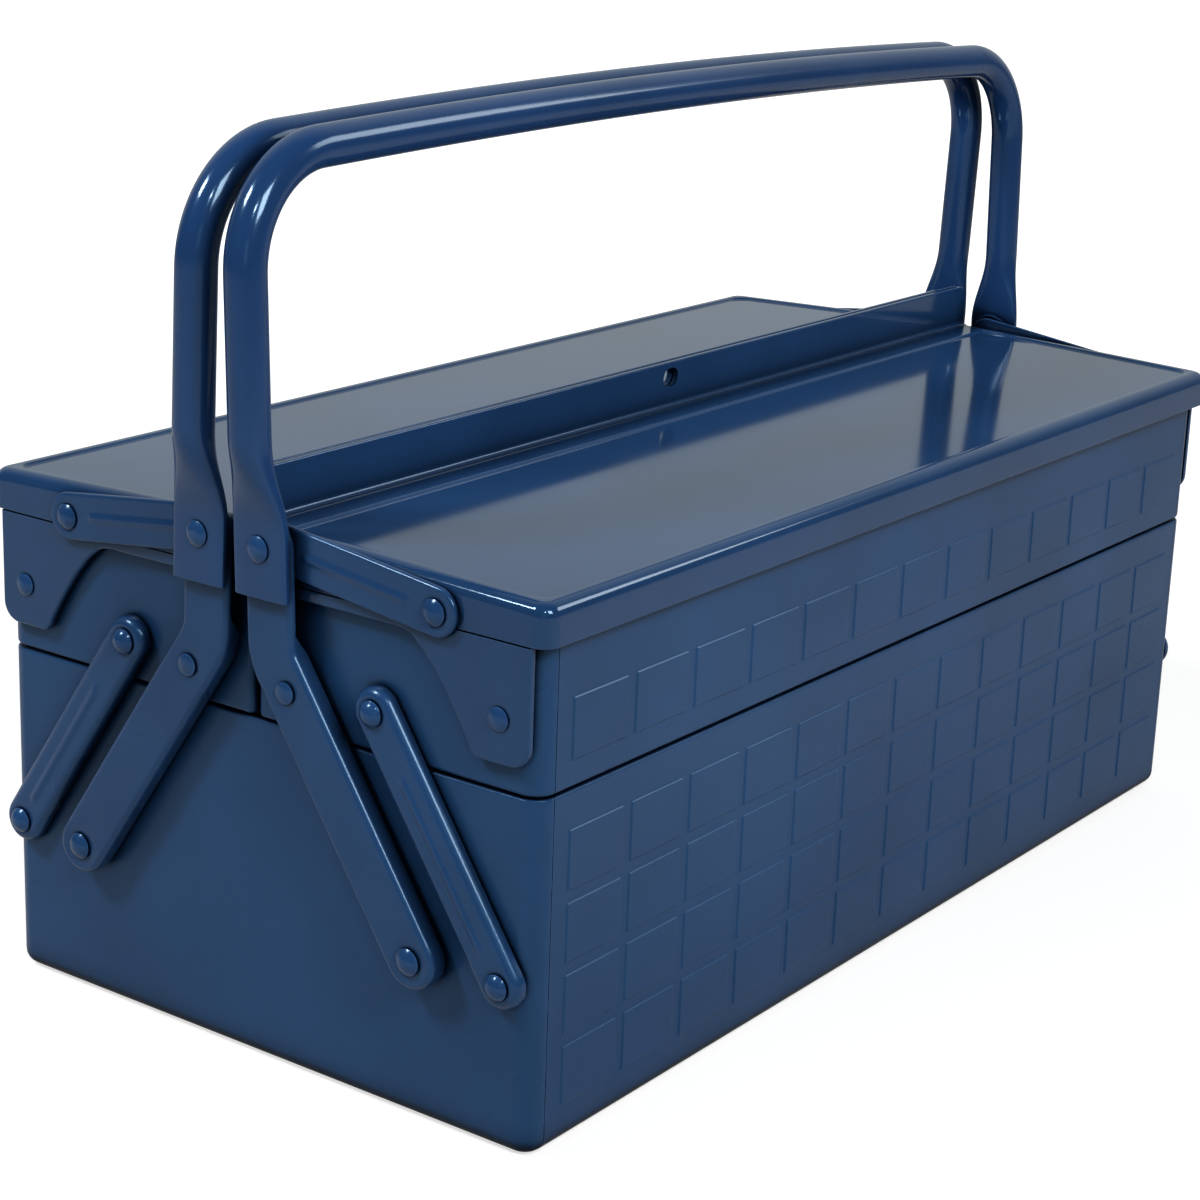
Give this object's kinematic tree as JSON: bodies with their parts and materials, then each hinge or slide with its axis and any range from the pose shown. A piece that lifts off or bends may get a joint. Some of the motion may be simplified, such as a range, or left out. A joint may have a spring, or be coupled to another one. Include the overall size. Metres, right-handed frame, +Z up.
{
  "type": "cantilever tool box",
  "caption": "Steel cantilever tool box: trays swing out over a deep base as two tubular handles are spread, and linked lids open with them.",
  "frame": {"origin": "centre of the underside of the base box", "axes": "+X along the length of the box, +Y towards its rear long side, +Z up; the front long side faces -Y"},
  "size_m": [0.454, 0.22, 0.2878],
  "materials": {
    "body_enamel": "semi-gloss dark blue enamel on pressed sheet steel",
    "lid_enamel": "gloss dark blue enamel",
    "handle_enamel": "gloss dark blue enamel on steel tube",
    "link_enamel": "semi-gloss dark blue enamel on pressed steel",
    "rivet_enamel": "painted steel rivet, slightly worn on the dome"
  },
  "bodies": {
    "base": {"base_shell": "body_enamel", "base_left_end": "body_enamel", "base_right_end": "body_enamel", "front_left_arm_base_rivet": "rivet_enamel", "front_left_link_base_rivet": "rivet_enamel", "front_right_arm_base_rivet": "rivet_enamel", "front_right_link_base_rivet": "rivet_enamel", "rear_left_arm_base_rivet": "rivet_enamel", "rear_left_link_base_rivet": "rivet_enamel", "rear_right_arm_base_rivet": "rivet_enamel", "rear_right_link_base_rivet": "rivet_enamel"},
    "front_handle": {"front_handle": "handle_enamel", "front_left_long_arm": "link_enamel", "front_left_handle_rivet": "rivet_enamel", "front_right_long_arm": "link_enamel", "front_right_handle_rivet": "rivet_enamel"},
    "front_left_short_link": {"front_left_short_link": "link_enamel"},
    "front_right_short_link": {"front_right_short_link": "link_enamel"},
    "front_tray": {"front_tray": "body_enamel", "front_left_tray_end": "body_enamel", "front_left_arm_tray_rivet": "rivet_enamel", "front_left_link_tray_rivet": "rivet_enamel", "front_left_lid_hinge_rivet": "rivet_enamel", "front_right_tray_end": "body_enamel", "front_right_arm_tray_rivet": "rivet_enamel", "front_right_link_tray_rivet": "rivet_enamel", "front_right_lid_hinge_rivet": "rivet_enamel"},
    "front_lid": {"front_lid": "lid_enamel", "front_left_lid_end_plate": "lid_enamel", "front_right_lid_end_plate": "lid_enamel"},
    "front_left_lid_link": {"front_left_lid_link": "link_enamel", "front_left_lid_link_rivet": "rivet_enamel"},
    "front_right_lid_link": {"front_right_lid_link": "link_enamel", "front_right_lid_link_rivet": "rivet_enamel"},
    "rear_handle": {"rear_handle": "handle_enamel", "rear_left_long_arm": "link_enamel", "rear_left_handle_rivet": "rivet_enamel", "rear_right_long_arm": "link_enamel", "rear_right_handle_rivet": "rivet_enamel"},
    "rear_left_short_link": {"rear_left_short_link": "link_enamel"},
    "rear_right_short_link": {"rear_right_short_link": "link_enamel"},
    "rear_tray": {"rear_tray": "body_enamel", "rear_left_tray_end": "body_enamel", "rear_left_arm_tray_rivet": "rivet_enamel", "rear_left_link_tray_rivet": "rivet_enamel", "rear_left_lid_hinge_rivet": "rivet_enamel", "rear_right_tray_end": "body_enamel", "rear_right_arm_tray_rivet": "rivet_enamel", "rear_right_link_tray_rivet": "rivet_enamel", "rear_right_lid_hinge_rivet": "rivet_enamel"},
    "rear_lid": {"rear_lid": "lid_enamel", "rear_left_lid_end_plate": "lid_enamel", "rear_right_lid_end_plate": "lid_enamel"},
    "rear_left_lid_link": {"rear_left_lid_link": "link_enamel", "rear_left_lid_link_rivet": "rivet_enamel"},
    "rear_right_lid_link": {"rear_right_lid_link": "link_enamel", "rear_right_lid_link_rivet": "rivet_enamel"}
  },
  "joints": [
    {"name": "front_handle_swing", "type": "hinge", "parent": "base", "child": "front_handle", "pos_m": [0, -0.067, 0.054], "axis": [1, 0, 0], "range_deg": [0, 64]},
    {"name": "front_left_short_link_swing", "type": "hinge", "parent": "base", "child": "front_left_short_link", "pos_m": [-0.2105, -0.097, 0.054], "axis": [1, 0, 0], "range_deg": [-0.5, 64.5]},
    {"name": "front_right_short_link_swing", "type": "hinge", "parent": "base", "child": "front_right_short_link", "pos_m": [0.2105, -0.097, 0.054], "axis": [1, 0, 0], "range_deg": [-0.5, 64.5]},
    {"name": "front_tray_level", "type": "hinge", "parent": "front_handle", "child": "front_tray", "pos_m": [0, -0.0195, 0.1245], "axis": [1, 0, 0], "range_deg": [-64.5, 0.5]},
    {"name": "front_lid_opening", "type": "hinge", "parent": "front_tray", "child": "front_lid", "pos_m": [0, -0.094, 0.133], "axis": [1, 0, 0], "range_deg": [-0.5, 76]},
    {"name": "front_left_lid_link_swing", "type": "hinge", "parent": "front_handle", "child": "front_left_lid_link", "pos_m": [-0.212, -0.012, 0.167], "axis": [1, 0, 0], "range_deg": [-82, 0.5]},
    {"name": "front_right_lid_link_swing", "type": "hinge", "parent": "front_handle", "child": "front_right_lid_link", "pos_m": [0.212, -0.012, 0.167], "axis": [1, 0, 0], "range_deg": [-82, 0.5]},
    {"name": "rear_handle_swing", "type": "hinge", "parent": "base", "child": "rear_handle", "pos_m": [0, 0.067, 0.054], "axis": [-1, 0, 0], "range_deg": [0, 64]},
    {"name": "rear_left_short_link_swing", "type": "hinge", "parent": "base", "child": "rear_left_short_link", "pos_m": [-0.2105, 0.097, 0.054], "axis": [-1, 0, 0], "range_deg": [-0.5, 64.5]},
    {"name": "rear_right_short_link_swing", "type": "hinge", "parent": "base", "child": "rear_right_short_link", "pos_m": [0.2105, 0.097, 0.054], "axis": [-1, 0, 0], "range_deg": [-0.5, 64.5]},
    {"name": "rear_tray_level", "type": "hinge", "parent": "rear_handle", "child": "rear_tray", "pos_m": [0, 0.0195, 0.1245], "axis": [-1, 0, 0], "range_deg": [-64.5, 0.5]},
    {"name": "rear_lid_opening", "type": "hinge", "parent": "rear_tray", "child": "rear_lid", "pos_m": [0, 0.094, 0.133], "axis": [-1, 0, 0], "range_deg": [-0.5, 76]},
    {"name": "rear_left_lid_link_swing", "type": "hinge", "parent": "rear_handle", "child": "rear_left_lid_link", "pos_m": [-0.212, 0.012, 0.167], "axis": [-1, 0, 0], "range_deg": [-82, 0.5]},
    {"name": "rear_right_lid_link_swing", "type": "hinge", "parent": "rear_handle", "child": "rear_right_lid_link", "pos_m": [0.212, 0.012, 0.167], "axis": [-1, 0, 0], "range_deg": [-82, 0.5]}
  ],
  "couplings": [
    {"joint": "front_left_short_link_swing", "follows": "front_handle_swing", "ratio": 1},
    {"joint": "front_right_short_link_swing", "follows": "front_handle_swing", "ratio": 1},
    {"joint": "front_tray_level", "follows": "front_handle_swing", "ratio": -1},
    {"joint": "front_lid_opening", "follows": "front_handle_swing", "ratio": 1.1793},
    {"joint": "front_left_lid_link_swing", "follows": "front_handle_swing", "ratio": -1.2704},
    {"joint": "front_right_lid_link_swing", "follows": "front_handle_swing", "ratio": -1.2704},
    {"joint": "rear_left_short_link_swing", "follows": "rear_handle_swing", "ratio": 1},
    {"joint": "rear_right_short_link_swing", "follows": "rear_handle_swing", "ratio": 1},
    {"joint": "rear_tray_level", "follows": "rear_handle_swing", "ratio": -1},
    {"joint": "rear_lid_opening", "follows": "rear_handle_swing", "ratio": 1.1793},
    {"joint": "rear_left_lid_link_swing", "follows": "rear_handle_swing", "ratio": -1.2704},
    {"joint": "rear_right_lid_link_swing", "follows": "rear_handle_swing", "ratio": -1.2704}
  ]
}
